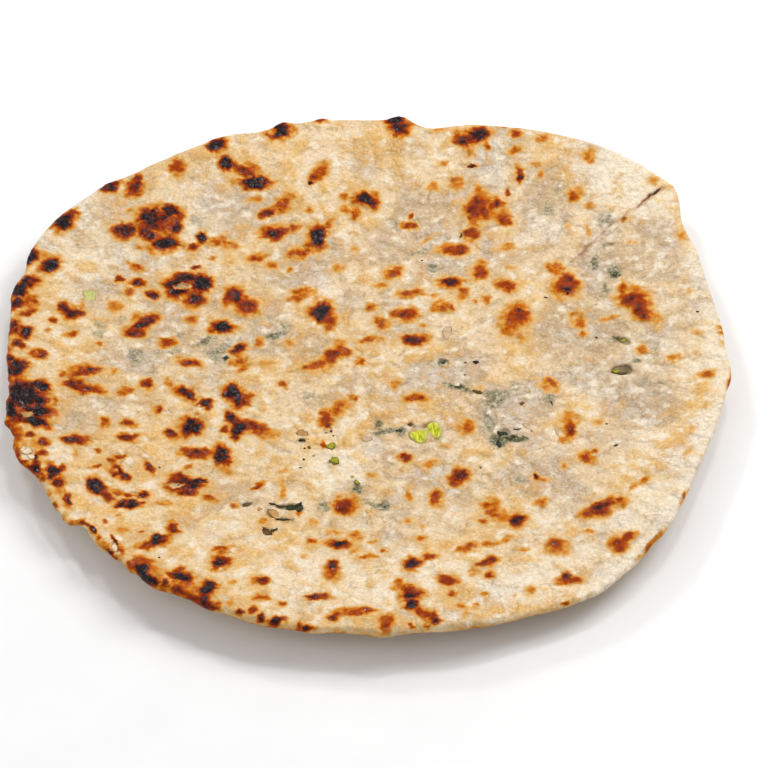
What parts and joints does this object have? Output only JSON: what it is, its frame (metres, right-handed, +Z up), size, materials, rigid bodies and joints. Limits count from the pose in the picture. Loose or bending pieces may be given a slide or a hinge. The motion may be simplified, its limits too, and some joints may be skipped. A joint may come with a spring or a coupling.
{
  "type": "stuffed flatbread",
  "caption": "Large thin round griddled kulcha, a stuffed flatbread with burnt blisters, a folded seam and a gently upcurled uneven border.",
  "frame": {"origin": "middle of the bread's outline, on the flat foot that it rests on", "axes": "+Z up, through the thin way of the bread; +Y towards the far side as pictured; +X to the right as pictured"},
  "size_m": [0.2718, 0.2732, 0.0158],
  "materials": {
    "dough": "satin"
  },
  "bodies": {
    "root": {"bread": "dough"}
  },
  "joints": []
}
